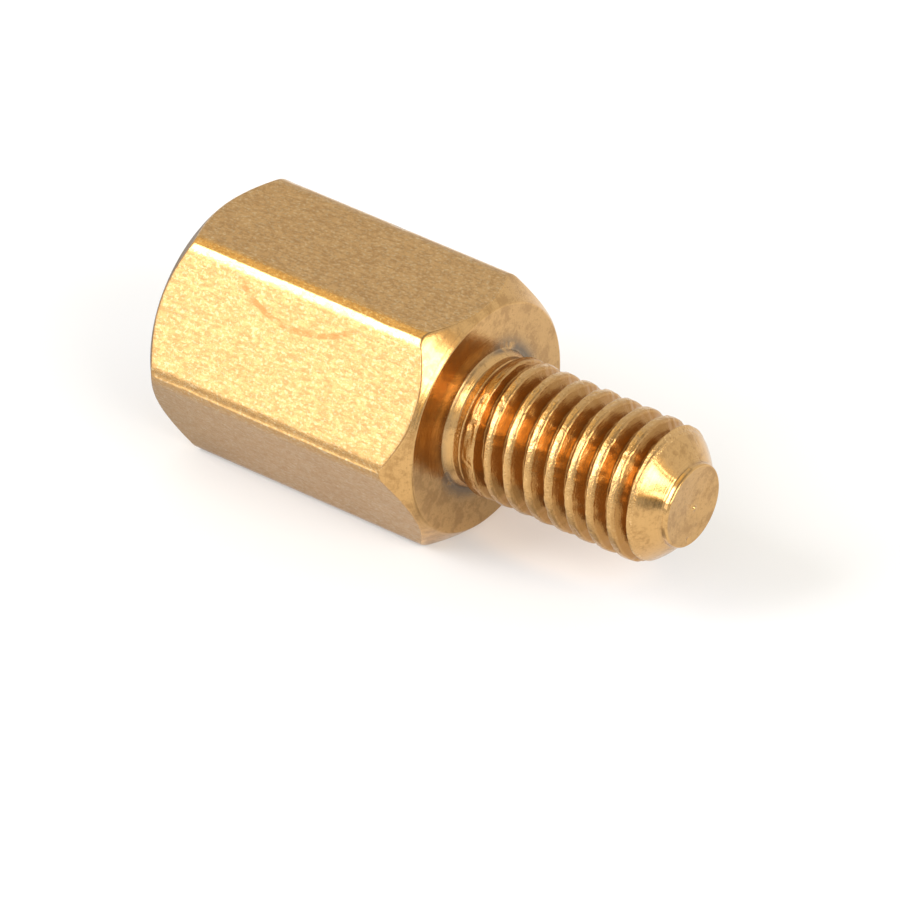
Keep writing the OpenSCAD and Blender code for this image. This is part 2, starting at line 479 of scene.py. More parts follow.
def add_stud(rings, stud):
    """Threaded stud from the point to the shoulder."""
    angles = rings.angles
    crest = stud.diameter / 2
    places = stud_rows(stud)
    x = places[:, None] * np.ones_like(angles)
    y, z = np.cos(angles) * crest, np.sin(angles) * crest
    where = np.stack(np.broadcast_arrays(x, y, z), axis=-1)
    along_point = np.clip((x - start_of_point(stud)) / stud.point_length, 0.0, 1.0)
    turned = turned_stud(stud, x, along_point, tip_edge(stud, angles))

    reach = groove_reach(stud, x)
    pushed = CREST_PUSH * (1 - smoother(*PUSH_FADES, x))
    off = off_crest(x - pushed, angles, stud.pitch, stud.first_crest)
    off = off + CREST_WANDER * lumps(where, size=0.16 * MM, seed=31.4)
    height = groove_height(off, stud.crest_width, root_flat=0.02, rounding=0.06)
    groove = crest - stud.thread_depth * (reach - height)

    domed = np.clip(off / stud.crest_width + 0.5, 0.0, 1.0) ** 2 * reach
    wear = LEAST_WEAR + (1 - LEAST_WEAR) * smoother(*WEAR_GROWS, x)
    wear = wear * (1 - (1 - LEAST_WEAR) * smoother(*WEAR_FADES, along_point))
    worn = (crest_dents(stud, where) + stud.crest_dome * domed) * wear
    surface = soft_lower(turned - worn, groove, width=0.016 * MM)
    lumpy = lumps(where, size=0.25 * MM, seed=21.9) * CREST_LUMPS * (1 - along_point)
    surface = surface + lumpy

    # How low in the thread each point lies, which browns it and paints shade on it; the crests'
    # sides towards the tip get some painted shade too
    below = np.clip((turned - surface) / stud.thread_depth, BROWN_AND_SHADE_SIDES * domed, 1)
    low_places = stud_browning_and_shade(stud, x, below, along_point, angles)
    thread_end = start_of_point(stud) + THREAD_FINISH
    for spot, r, low in zip(places, surface, low_places):
        finish = THREAD if stud.root_length < spot < thread_end else TURNED
        rings.add(spot, r, finish, edge_wear=np.clip(1 - low * 4, 0, 1), corner_dirt=low)


# Place of the shoulder along the axis
SHOULDER = 0.0

# How many rings there are on the shoulder, along the flats, on each slope and on the end face
SHOULDER_RINGS = 18
FLAT_RINGS = 30
SLOPE_RINGS = 7
END_FACE_RINGS = 9

# Painted grey shade in the corner round the root of the stud: the sides where most of it lies and
# how far it spreads from them, both in degrees, and the share of it that lies all round
SHADED_SIDES = (48, 232)
SHADE_SPREAD = (22.0, 50.0)
SHADE_ALL_ROUND = 0.35

# Width of the painted grey shade round the root on the shoulder, and the painted shade on the
# shoulder's +Y side
SHADE_WIDTH = 0.20 * MM
SHOULDER_SHADE = 0.12

# Painted shade, as a grey tone, on each of the six flats, from the one at 30 degrees onwards: the
# flats that face down get the most
FLAT_SHADE = (0.10, 0.0, 0.0, 0.38, 0.30, 0.12)


def gathered_shade(angles):
    """Share of painted grey shade round the root of the stud: most of it lies on two sides."""
    grey_shade = SHADE_ALL_ROUND
    for middle in SHADED_SIDES:
        away = np.abs((np.degrees(angles) - middle + 180) % 360 - 180)
        grey_shade = np.maximum(grey_shade, 1 - smoother(*SHADE_SPREAD, away))
    return grey_shade


def face_radius(body):
    """Radius of the round face at each end of the bar."""
    return body.across_flats / 2 - body.face_inset


def turned_corners(body, bar, angle):
    """Rings from an end's face over its sloped corners to the flats: depth, radius and wear."""
    face, soft, slope = face_radius(body), body.edge_round, math.tan(angle)
    border = (bar - face) * slope
    parts = np.linspace(0.18, 0.82, SLOPE_RINGS)
    return [
        (0.0, face - soft, 0.2),
        (0.25 * soft, face - 0.1 * soft, 1.0),
        (0.9 * soft, face + 0.6 * soft, 0.6),
        *((border * part, face + (bar - face) * part, 0.0) for part in parts),
        (border - soft, bar - soft / slope, 0.3),
        (border, bar - 0.3 * soft, 1.0),
    ]


def add_body(rings, body, stud):
    """Shoulder, sloped corners, six flats and the sloped corners at the tapped end."""
    angles, soft = rings.angles, body.edge_round
    bar, on_corner = bar_radius(body, angles)
    inner = stud.root_diameter / 2
    # Painted grey shade in the corner round the root of the stud
    rings.add(SHOULDER, inner + 0.003 * MM, TURNED, corner_dirt=gathered_shade(angles))
    # Painted shade on the shoulder's +Y side
    dulled = SHOULDER_SHADE * smoother(-0.2, 0.6, np.cos(angles))
    for r in np.linspace(inner + 0.02 * MM, face_radius(body) - 2 * soft, SHOULDER_RINGS):
        grey_shade = gathered_shade(angles) * math.exp(-(((r - inner) / SHADE_WIDTH) ** 2))
        rings.add(SHOULDER, r, TURNED, corner_dirt=grey_shade, film=dulled)

    *slopes, edge = turned_corners(body, bar, body.corner_angle)
    for depth, r, wear in slopes:
        rings.add(SHOULDER - depth, r, TURNED, edge_wear=wear)
    border, r, wear = edge
    rings.add(SHOULDER - border, r, DRAWN, edge_wear=wear)

    far_slopes = turned_corners(body, bar, body.far_angle)
    far_border, last = far_slopes[-1][0], body.body_length
    flat_length = last - border - far_border - 2 * soft
    side = np.floor(angles % (2 * math.pi) / SECTOR + 1e-6).astype(int) % SIDES
    # Painted shade on each flat, most on the flats that face down
    film = np.array(FLAT_SHADE)[side]
    for part in (0.0, *np.linspace(0.012, 0.988, FLAT_RINGS), 1.0):
        x = -border - soft - flat_length * part
        rings.add(x, bar, DRAWN, edge_wear=on_corner, film=film)
    for depth, r, wear in reversed(far_slopes):
        rings.add(depth - last, r, TURNED, edge_wear=wear)


# Thread in the hole: spacing of its rings and the length over which it runs out
HOLE_SPACING = 0.09 * MM
HOLE_RUNOUT = 0.6 * MM

# How many rings there are on the cone that the drill left
DRILL_RINGS = 9


def add_hole(rings, body, hole, stud):
    """End face, countersink, tapped hole and the cone that the drill left."""
    last, soft = body.body_length, body.edge_round
    mouth, wall = hole.mouth_diameter / 2, hole.diameter / 2
    for r in np.linspace(face_radius(body) - 2 * soft, mouth + 2 * soft, END_FACE_RINGS):
        rings.add(-last, r, TURNED)
    rings.add(-last, mouth + soft, TURNED, edge_wear=0.2)
    rings.add(0.3 * soft - last, mouth, TURNED, edge_wear=1.0)

    drill_depth = wall / math.tan(hole.drill_angle / 2)
    deepest = -hole.floor_thickness - drill_depth
    places = np.arange(-last + 0.03 * MM, deepest - 0.01 * MM, HOLE_SPACING)
    x = places[:, None] * np.ones_like(rings.angles)
    countersink = mouth - (x + last)
    full = hole.tapped_length - last
    grown = 1 - smoother(full, full + HOLE_RUNOUT, x)
    off = off_crest(x, rings.angles, stud.pitch, first=0.0)
    height = groove_height(off, crest_flat=0.22, root_flat=0.10, rounding=0.2)
    thread = wall + hole.thread_depth * (grown - height)
    radius = -soft_lower(-np.maximum(countersink, wall), -thread, width=0.02 * MM)
    # Browning and painted shade low in the hole's thread, and painted grey shade on the drill's cone
    # at its bottom
    for spot, r in zip(places, radius):
        rings.add(spot, r, THREAD, corner_dirt=np.clip((r - wall) / hole.thread_depth, 0, 1))
    for part in np.linspace(0.0, 0.94, DRILL_RINGS):
        rings.add(deepest + drill_depth * part, wall * (1 - part), TURNED, corner_dirt=0.6)


# Small knocks: place along the axis, angle and radius in millimetres, then width and depth
DENTS = (
    ((-3.24, 60, 2.82), 0.07, 0.035),
    ((-5.78, 60, 2.82), 0.08, 0.035),
    ((-4.10, 120, 2.82), 0.05, 0.012),
    ((-1.30, 120, 2.82), 0.05, 0.010),
    ((-2.20, 180, 2.82), 0.06, 0.015),
    ((-5.30, 180, 2.82), 0.05, 0.015),
    ((-2.9, 300, 2.82), 0.08, 0.03),
    ((4.24, 186, 1.42), 0.05, 0.03),
    ((2.87, 147, 1.45), 0.06, 0.02),
)

# Marks on the face of the tip: angle and distance from the axis, then width and depth. The
# first is the raised pip that the parting tool left.
FACE_MARKS = (
    ((308, 0.127), 0.046, -0.052),
    ((258, 0.72), 0.04, 0.03),
    ((288, 0.58), 0.10, 0.006),
    ((20, 0.45), 0.12, 0.005),
)

# Surface within this distance of the tip's longest point belongs to its face
FACE_DEPTH = 0.07 * MM


def press_dents(mesh):
    """Pushes the surface in round each small knock and each mark on the face of the tip."""
    count = len(mesh.vertices)
    points = np.empty(count * 3)
    mesh.vertices.foreach_get("co", points)
    points = points.reshape(-1, 3)
    moved = points.copy()
    for (x, angle, r), size, depth in DENTS:
        turn = math.radians(angle)
        centre = np.array([x, r * math.cos(turn), r * math.sin(turn)]) * MM
        away = np.linalg.norm(points - centre, axis=1) / (size * MM)
        inward = -np.array([0, math.cos(turn), math.sin(turn)])
        moved += np.exp(-away**2)[:, None] * inward * depth * MM
    on_face = points[:, 0] > HIGHEST.x - FACE_DEPTH
    for (angle, r), size, depth in FACE_MARKS:
        turn = math.radians(angle)
        centre = np.array([math.cos(turn), math.sin(turn)]) * r * MM
        away = np.linalg.norm(points[:, 1:] - centre, axis=1) / (size * MM)
        moved[:, 0] -= np.exp(-away**2) * on_face * depth * MM
    mesh.vertices.foreach_set("co", moved.ravel())
    mesh.update()


# ---------------------------------------------------------------- shader helpers


def fill(tree, socket, value):
    """Sets an input to a number or colour, or links it to an output."""
    if isinstance(value, bpy.types.NodeSocket):
        tree.links.new(value, socket)
    else:
        socket.default_value = value


def place(tree, kind, values=None, **settings):
    """Adds a node, sets its options and fills its inputs with numbers or links."""
    node = tree.nodes.new(kind)
    for key, value in settings.items():
        setattr(node, key, value)
    for key, value in (values or {}).items():
        fill(tree, node.inputs[key], value)
    return node


def use(tree, group, values):
    """Outputs of a shader group that is placed with its own values."""
    return place(tree, "ShaderNodeGroup", values, node_tree=group).outputs


def coordinates(tree, kind="Object"):
    """Place of each shaded point, or its direction in the world."""
    return tree.nodes.new("ShaderNodeTexCoord").outputs[kind]


def rgba(values):
    """Colour with full cover, as the shader's inputs take it."""
    return (*values, 1.0)


def sums(tree, operation, *values, clamp=False):
    """One step of arithmetic on numbers or links."""
    node = place(tree, "ShaderNodeMath", dict(enumerate(values)), operation=operation)
    node.use_clamp = clamp
    return node.outputs[0]


def product(tree, first, *others):
    """Numbers or links multiplied together."""
    for value in others:
        first = sums(tree, "MULTIPLY", first, value)
    return first


def hypotenuse(tree, a, b):
    """Length of the diagonal over two sides."""
    squares = sums(tree, "ADD", product(tree, a, a), product(tree, b, b))
    return sums(tree, "SQRT", squares)


def vector_sums(tree, operation, *values):
    """One step of arithmetic on vectors, which gives a number or a vector."""
    node = place(tree, "ShaderNodeVectorMath", dict(enumerate(values)), operation=operation)
    return node.outputs["Value"] if operation in ("DOT_PRODUCT", "LENGTH") else node.outputs[0]


def blend_colours(tree, factor, first, second, blend="MIX"):
    """Second colour over the first, by a factor from 0 to 1."""
    node = place(tree, "ShaderNodeMix", data_type="RGBA", blend_type=blend)
    inputs = {socket.identifier: socket for socket in node.inputs}
    fill(tree, inputs["Factor_Float"], factor)
    fill(tree, inputs["A_Color"], first)
    fill(tree, inputs["B_Color"], second)
    return next(socket for socket in node.outputs if socket.identifier == "Result_Color")


def ramp(tree, value, low, high, start=0.0, end=1.0):
    """Maps low..high to start..end along an even curve."""
    node = place(
        tree, "ShaderNodeMapRange",
        {"Value": value, "From Min": low, "From Max": high, "To Min": start, "To Max": end},
        interpolation_type="SMOOTHSTEP",
    )
    return node.outputs["Result"]


def per(size):
    """Frequency of features of a size in millimetres."""
    return 1 / (size * MM)


def speckle(tree, vector, size, seed, detail=3.0, rough=0.6):
    """Noise with features of a size in millimetres, or of one size for each axis."""
    sizes = size if isinstance(size, tuple) else (size,) * 3
    stretch = tuple(per(side) for side in sizes)
    moved = place(
        tree, "ShaderNodeMapping",
        {"Vector": vector, "Location": (seed,) * 3, "Scale": stretch},
    ).outputs[0]
    return place(
        tree, "ShaderNodeTexNoise",
        {"Vector": moved, "Scale": 1.0, "Detail": detail, "Roughness": rough},
        noise_dimensions="3D",
    ).outputs["Fac"]


def new_group(name, inputs, outputs):
    """Empty shader group with named sockets; each is (name, kind, default)."""
    tree = bpy.data.node_groups.new(name, "ShaderNodeTree")
    for label, kind, default in inputs:
        socket = tree.interface.new_socket(label, in_out="INPUT", socket_type=kind)
        if default is not None:
            socket.default_value = default
    for label, kind in outputs:
        tree.interface.new_socket(label, in_out="OUTPUT", socket_type=kind)
    source = tree.nodes.new("NodeGroupInput")
    sink = tree.nodes.new("NodeGroupOutput")
    return tree, source.outputs, sink.inputs


# Kinds of input and output that a group has
NUMBER, VECTOR, COLOUR = "NodeSocketFloat", "NodeSocketVector", "NodeSocketColor"


def drawn_grain_group():
    """Short lines along the bar, specks and broad patches, as drawing through a die leaves."""
    tree, given, out = new_group(
        "Drawn grain", [("Vector", VECTOR, None)],
        [("Height", NUMBER), ("Shade", NUMBER), ("Specks", NUMBER)],
    )
    where = given["Vector"]
    lines = speckle(tree, where, (0.30, 0.06, 0.06), seed=4.1)
    grit = speckle(tree, where, (0.13, 0.10, 0.10), seed=9.3, detail=6.0, rough=0.85)
    flecks = speckle(tree, where, (0.07, 0.05, 0.05), seed=2.2)
    shade = sums(tree, "MULTIPLY_ADD", lines, 0.35, grit)
    tree.links.new(ramp(tree, shade, 0.60, 0.77), out["Shade"])
    tree.links.new(ramp(tree, flecks, 0.53, 0.63), out["Specks"])
    tree.links.new(sums(tree, "MULTIPLY_ADD", lines, 0.3, grit), out["Height"])
    return tree


def turning_marks_group():
    """Rings cut by the lathe tool, counted by the distance from the axis and along it."""
    tree, given, out = new_group(
        "Turning marks", [("Vector", VECTOR, None), ("Spacing", NUMBER, 0.05 * MM)],
        [("Height", NUMBER), ("Rings", NUMBER)],
    )
    x, y, z = place(tree, "ShaderNodeSeparateXYZ", {0: given["Vector"]}).outputs
    path = sums(tree, "SUBTRACT", hypotenuse(tree, y, z), x)
    turns = sums(tree, "DIVIDE", path, given["Spacing"])
    rings = place(
        tree, "ShaderNodeTexNoise",
        {"W": turns, "Scale": 1.0, "Detail": 3.0, "Roughness": 0.7}, noise_dimensions="1D",
    ).outputs["Fac"]
    chatter = speckle(tree, given["Vector"], 0.12, seed=6.2)
    tree.links.new(sums(tree, "MULTIPLY_ADD", chatter, 0.8, rings), out["Height"])
    tree.links.new(ramp(tree, rings, 0.3, 0.7), out["Rings"])
    return tree


def tarnish_group():
    """Browned patches and small dark spots over a clean colour."""
    tree, given, out = new_group(
        "Tarnish",
        [("Vector", VECTOR, None), ("Clean", COLOUR, None), ("Brown", COLOUR, None),
         ("Amount", NUMBER, 0.5), ("Spots", NUMBER, 0.3)],
        [("Colour", COLOUR), ("Mask", NUMBER)],
    )
    where = given["Vector"]
    patches = speckle(tree, where, 0.4, seed=2.9, detail=6.0, rough=0.75)
    fine = speckle(tree, where, 0.06, seed=7.7)
    broad = product(tree, ramp(tree, patches, 0.45, 0.60), given["Amount"])
    spots = product(tree, ramp(tree, fine, 0.56, 0.70), given["Spots"])
    mask = sums(tree, "MAXIMUM", broad, spots)
    tree.links.new(blend_colours(tree, mask, given["Clean"], given["Brown"]), out["Colour"])
    tree.links.new(mask, out["Mask"])
    return tree


def wear_group():
    """Rubbed edges in clean metal, and grey painted shade low in the corners and on the shaded
    flats.
    """
    tree, given, out = new_group(
        "Wear and grey shade",
        [("Vector", VECTOR, None), ("Colour", COLOUR, None), ("Clean", COLOUR, None),
         ("Grey shade", COLOUR, None), ("Edge", NUMBER, 0.0), ("Corner", NUMBER, 0.0),
         ("Strength", NUMBER, 0.5), ("Film and shade", NUMBER, 0.0)],
        [("Colour", COLOUR), ("Film and shade", NUMBER)],
    )
    where = given["Vector"]
    broken = speckle(tree, where, 0.10, seed=5.5)
    rubbed = product(tree, given["Edge"], ramp(tree, broken, 0.40, 0.62))
    colour = blend_colours(tree, rubbed, given["Colour"], given["Clean"])
    cloud = speckle(tree, where, 0.35, seed=8.8, detail=4.0)
    film = product(tree, given["Corner"], ramp(tree, cloud, 0.30, 0.50))
    film = sums(tree, "MULTIPLY_ADD", film, given["Strength"], given["Film and shade"], clamp=True)
    tree.links.new(blend_colours(tree, film, colour, given["Grey shade"]), out["Colour"])
    tree.links.new(film, out["Film and shade"])
    return tree


# Rub mark: the flat that it lies on in degrees, and the centre of its circle, given along the
# bar and across that flat
RUB_FLAT = math.radians(150)
RUB_ALONG = -3.33 * MM
RUB_ACROSS = 2.93 * MM

# How far along the bar the rub mark reaches and where it starts to fade, how far it wanders
# off its circle, and the least height of the surface that it shows on
RUB_REACH = 1.75 * MM
RUB_FADES = 1.2 * MM
RUB_WANDER = 0.08 * MM
RUB_FLOOR = 2.44 * MM


def rub_mark_group():
    """Curved rub mark across one flat: an arc of a circle with soft, broken edges."""
    tree, given, out = new_group(
        "Rub mark",
        [("Vector", VECTOR, None), ("Radius", NUMBER, 2.37 * MM), ("Width", NUMBER, 0.075 * MM)],
        [("Mask", NUMBER)],
    )
    where = given["Vector"]
    outward = (0.0, math.cos(RUB_FLAT), math.sin(RUB_FLAT))
    across = (0.0, math.sin(RUB_FLAT), -math.cos(RUB_FLAT))
    along = place(tree, "ShaderNodeSeparateXYZ", {0: where}).outputs[0]
    x = sums(tree, "SUBTRACT", along, RUB_ALONG)
    y = sums(tree, "SUBTRACT", vector_sums(tree, "DOT_PRODUCT", where, across), RUB_ACROSS)
    away = sums(tree, "SUBTRACT", hypotenuse(tree, x, y), given["Radius"])
    wander = sums(tree, "SUBTRACT", speckle(tree, where, 0.5, seed=3.3, detail=2.0), 0.5)
    away = sums(tree, "MULTIPLY_ADD", wander, RUB_WANDER, away)
    near = sums(tree, "DIVIDE", sums(tree, "ABSOLUTE", away), given["Width"])
    band = ramp(tree, near, 1.0, 0.5)
    reach = ramp(tree, sums(tree, "ABSOLUTE", x), RUB_REACH, RUB_FADES)
    height = vector_sums(tree, "DOT_PRODUCT", where, outward)
    on_flat = sums(tree, "GREATER_THAN", height, RUB_FLOOR)
    broken = speckle(tree, where, 0.3, seed=1.1, detail=4.0, rough=0.7)
    broken = ramp(tree, broken, 0.38, 0.56, start=0.35, end=1.0)
    tree.links.new(product(tree, band, reach, on_flat, broken), out["Mask"])
    return tree


# ---------------------------------------------------------------- finishes


def new_material(name):
    """Material with an empty tree of nodes and its output."""
    material = bpy.data.materials.new(name)
    material.use_nodes = True
    tree = material.node_tree
    tree.nodes.clear()
    return material, tree, tree.nodes.new("ShaderNodeOutputMaterial")


class Surface:
    """Start of a brass material: its coordinates, its shader and the shared groups."""

    def __init__(self, name, finish, groups):
        self.finish, self.groups = finish, groups
        self.material, self.tree, output = new_material(name)
        self.shader = place(self.tree, "ShaderNodeBsdfPrincipled", {"Metallic": 1.0})
        self.tree.links.new(self.shader.outputs[0], output.inputs["Surface"])
        self.where = coordinates(self.tree)
        self.edge = self.attribute("edge_wear")
        self.corner = self.attribute("corner_dirt")
        self.film = self.attribute("film")

    def attribute(self, name):
        """Mask that the mesh carries."""
        node = place(self.tree, "ShaderNodeAttribute", attribute_name=name)
        return node.outputs["Fac"]

    def brass(self, amount, spots, film):
        """Clean and browned metal with grey painted shade in one colour, with the masks of brown and
        of the grey shade.
        """
        tree, finish = self.tree, self.finish
        aged = use(tree, self.groups["tarnish"], {
            "Vector": self.where, "Clean": rgba(finish.brass), "Brown": rgba(finish.tarnish),
            "Amount": amount, "Spots": spots,
        })
        worn = use(tree, self.groups["wear"], {
            "Vector": self.where, "Colour": aged["Colour"], "Clean": rgba(finish.brass),
            "Grey shade": rgba(finish.grey_shade), "Edge": self.edge, "Corner": self.corner,
            "Strength": film, "Film and shade": self.film,
        })
        return worn["Colour"], aged["Mask"], worn["Film and shade"]

    def finish_with(self, colour, roughness, height, depth):
        """Links the colour and the roughness, and the height as relief of a depth."""
        inputs = self.shader.inputs
        self.tree.links.new(colour, inputs["Base Color"])
        self.tree.links.new(roughness, inputs["Roughness"])
        relief = {"Height": height, "Distance": depth, "Strength": 1.0}
        bump = place(self.tree, "ShaderNodeBump", relief)
        self.tree.links.new(bump.outputs[0], inputs["Normal"])
        return self.material


# Tints that make brass paler: bright specks in the grain and nicks on the crests
PALE_SPECK = rgba((1.12, 1.33, 1.75))
PALE_NICK = rgba((1.4, 1.6, 2.0))


def drawn_material(finish, groups):
    """Flats and long corners of the drawn bar, with the rub mark on one flat."""
    surface = Surface("brass_drawn", finish, groups)
    tree = surface.tree
    grain = use(tree, groups["grain"], {"Vector": surface.where})
    colour, aged, _ = surface.brass(amount=0.16, spots=0.10, film=0.4)
    shade = product(tree, grain["Shade"], 0.62)
    colour = blend_colours(tree, shade, colour, rgba(finish.tarnish))
    pale = blend_colours(tree, 1.0, colour, PALE_SPECK, blend="MULTIPLY")
    colour = blend_colours(tree, grain["Specks"], colour, pale)
    mark = use(tree, groups["rub"], {"Vector": surface.where})["Mask"]
    colour = blend_colours(tree, mark, colour, rgba(finish.rub))
    rough = sums(tree, "MULTIPLY_ADD", aged, 0.12, finish.roughness)
    rough = sums(tree, "MULTIPLY_ADD", grain["Shade"], 0.06, rough)
    rough = sums(tree, "MULTIPLY_ADD", surface.edge, -0.24, rough)
    off_edges = ramp(tree, surface.edge, 0.0, 0.5, start=1.0, end=0.1)
    height = product(tree, grain["Height"], off_edges)
    return surface.finish_with(colour, rough, height, depth=0.008 * MM)


def turned_material(finish, groups):
    """Faces, slopes and point that the lathe cut, with fine rings."""
    surface = Surface("brass_turned", finish, groups)
    tree = surface.tree
    marks = use(tree, groups["turning"], {"Vector": surface.where, "Spacing": 0.035 * MM})
    colour, aged, film = surface.brass(amount=0.66, spots=0.62, film=0.9)
    shade = product(tree, marks["Rings"], 0.15)
    colour = blend_colours(tree, shade, colour, rgba(finish.tarnish))
    rough = sums(tree, "MULTIPLY_ADD", aged, 0.10, finish.turned_roughness)
    rough = sums(tree, "MULTIPLY_ADD", film, 0.25, rough)
    return surface.finish_with(colour, rough, marks["Height"], depth=0.0025 * MM)


def thread_material(finish, groups):
    """Threads: browned metal and painted shade low in the groove, with pits and with bright nicks on
    the crests.
    """
    surface = Surface("brass_thread", finish, groups)
    tree, where = surface.tree, surface.where
    marks = use(tree, groups["turning"], {"Vector": where, "Spacing": 0.05 * MM})
    colour, aged, _ = surface.brass(amount=0.25, spots=0.30, film=0.0)
    # Browned metal and painted shade low in the groove
    low = ramp(tree, surface.corner, 0.06, 0.30)
    colour = blend_colours(tree, low, colour, rgba(finish.root))
    pit = ramp(tree, speckle(tree, where, 0.07, seed=3.1, detail=2.0), 0.60, 0.70)
    colour = blend_colours(tree, product(tree, pit, 0.6), colour, rgba(finish.root))
    nick = ramp(tree, speckle(tree, where, 0.06, seed=12.1, detail=2.0), 0.60, 0.68)
    pale = blend_colours(tree, 1.0, rgba(finish.brass), PALE_NICK, blend="MULTIPLY")
    colour = blend_colours(tree, product(tree, nick, surface.edge, 0.7), colour, pale)
    rough = sums(tree, "MULTIPLY_ADD", aged, 0.20, finish.turned_roughness)
    rough = sums(tree, "MULTIPLY_ADD", low, 0.07, rough)
    lumpy = speckle(tree, where, 0.055, seed=15.7)
    height = sums(tree, "MULTIPLY_ADD", marks["Height"], 0.4, lumpy)
    height = product(tree, height, ramp(tree, low, 0.0, 1.0, start=1.0, end=0.35))
    return surface.finish_with(colour, rough, height, depth=0.013 * MM)


# Makers of the three finishes, in the order of their numbers
FINISHES = (drawn_material, turned_material, thread_material)


# ---------------------------------------------------------------- piece


def add_object(scene, name, data):
    """Object with its data, linked into the scene."""
    item = bpy.data.objects.new(name, data)
    scene.collection.objects.link(item)
    return item


class STANDOFF_OT_piece(bpy.types.Operator):
    """Turns, threads and finishes the brass standoff."""

    bl_idname = "standoff.piece"
    bl_label = "Make the standoff"

    def execute(self, context):
        scene = context.scene
        body, stud = scene.standoff_body, scene.standoff_stud
        hole, finish = scene.standoff_hole, scene.standoff_finish
        rings = Rings(ring_angles(body))
        add_point(rings, stud)
        add_stud(rings, stud)
        add_body(rings, body, stud)
        add_hole(rings, body, hole, stud)
        mesh = rings.mesh(PIECE + "_turned", stud.stud_length - FACE_SUNK, -hole.floor_thickness)
        press_dents(mesh)
        groups = {
            "grain": drawn_grain_group(), "turning": turning_marks_group(),
            "tarnish": tarnish_group(), "wear": wear_group(), "rub": rub_mark_group(),
        }
        for make in FINISHES:
            mesh.materials.append(make(finish, groups))
        piece = add_object(scene, mesh.name, mesh)
        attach(piece, BODY)
        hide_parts(PIECE)
        return {"FINISHED"}


# ---------------------------------------------------------------- stage

# Soft boxes: turn round the object and height above the horizon in degrees, width and height,
# turn about their own axis in degrees, and the value that sets their brightness. All of them
# stand at the same distance.
BOX_DISTANCE = 0.30
SOFT_BOXES = (
    ("left_box", (229, 38), (0.19, 0.145), -62, "key_level"),
    ("low_box", (239, 12), (0.20, 0.06), 0, "low_level"),
    ("right_box", (342, 32.5), (0.183, 0.142), 0, "fill_level"),
)

# Round table: its radius, its number of sides, and how far it glows to look white
TABLE_RADIUS = 0.6
TABLE_SIDES = 96
TABLE_GLOW = 0.24

# Soft ovals on the table: the middle of each and half its sizes, in millimetres. The dark ones, each
# with its strength, are painted shade, the lit one is painted light, and they show only where metal
# mirrors them.
MIRRORED_SHADE_OVALS = (
    ((-20, -34.6), (25, 25), 0.4),
    ((2.5, -2.0), (3.2, 1.3), 0.45),
    ((-14, 3), (12, 9), 0.65),
)
MIRRORED_LIGHT_OVAL = ((-6.0, -6.9), (4.5, 1.5))

# Painted warm light on the table, as brass would throw it, seen by the camera alone
PAINTED_WARM_OVAL = ((1.3, 0.4), (2.9, 1.4))
PAINTED_WARM_LEVEL = 0.165

# Painted shade on the table beyond the tip, seen only where metal mirrors it: its direction in
# degrees, its strength, the point that it starts from, and the distances between which it comes up
SECTOR_TURN = 338
SECTOR_STRENGTH = 0.8
SECTOR_START = (HIGHEST.x, -0.8 * MM, LOWEST.z)
SECTOR_GROWS = (8 * MM, 26 * MM)

# Directions of the room, as turn and height in degrees: the brighter side, two darker gaps, and
# two warm glows with their borders
BRIGHT_SIDE = (30, 20)
LOW_GAP = (240, -3)
TIP_GAP = (338, 2)
WARM_GLOWS = (((182, 57), (0.86, 0.985)), ((342, 32), (0.84, 0.93)))

# Colours of the table's glow, its fibres and its ovals, and of the room
BLACK = (0, 0, 0)
WHITE = (1, 1, 1)
COOL_WHITE = (0.98, 0.99, 1)
FIBRE_GREY = (0.7, 0.7, 0.7)
MIRRORED_LIGHT_COLOUR = (1, 1, 0.95)
PAINTED_WARM_COLOUR = (1.0, 0.60, 0.28)
WARM_ROOM = (1.25, 1.05, 0.62)

# Point that the camera looks at
AIM = Vector((-0.903, 0.0, -1.129)) * MM


def heading(azimuth, elevation):
    """Direction at an angle from +X towards +Y and a height above the horizon, in degrees."""
    turn, lift = math.radians(azimuth), math.radians(elevation)
    return (math.cos(lift) * math.cos(turn), math.cos(lift) * math.sin(turn), math.sin(lift))


def soft_box(scene, name, side, sizes, turn, level):
    """Area lamp that faces the object, with the same brightness whatever its size."""
    width, height = sizes
    lamp = bpy.data.lights.new(name, "AREA")
    lamp.shape = "RECTANGLE"
    lamp.size, lamp.size_y = width, height
    lamp.energy = level * math.pi * width * height
    towards = Vector(heading(*side))
    facing = towards.to_track_quat("Z", "Y").to_matrix()
    facing = facing @ Matrix.Rotation(math.radians(turn), 3, "Z")
    holder = add_object(scene, name, lamp)
    holder.location = towards * BOX_DISTANCE
    holder.rotation_euler = facing.to_euler()
    holder.visible_camera = False


def emission(tree, colour, strength):
    """Shader that glows in one colour."""
    values = {"Color": rgba(colour), "Strength": strength}
    return place(tree, "ShaderNodeEmission", values).outputs[0]


def both(tree, first, second):
    """Two shaders added together."""
    return place(tree, "ShaderNodeAddShader", {0: first, 1: second}).outputs[0]


def mix(tree, factor, first, second):
    """Second shader over the first, by a factor from 0 to 1."""
    return place(tree, "ShaderNodeMixShader", {0: factor, 1: first, 2: second}).outputs[0]


def oval(tree, middle, sizes):
    """Soft oval on the table, from its middle and half its sizes in millimetres."""
    centre = (middle[0] * MM, middle[1] * MM, LOWEST.z)
    off = vector_sums(tree, "SUBTRACT", coordinates(tree), centre)
    off = vector_sums(tree, "MULTIPLY", off, (per(sizes[0]), per(sizes[1]), 1.0))
    return ramp(tree, vector_sums(tree, "LENGTH", off), 1.0, 0.5)


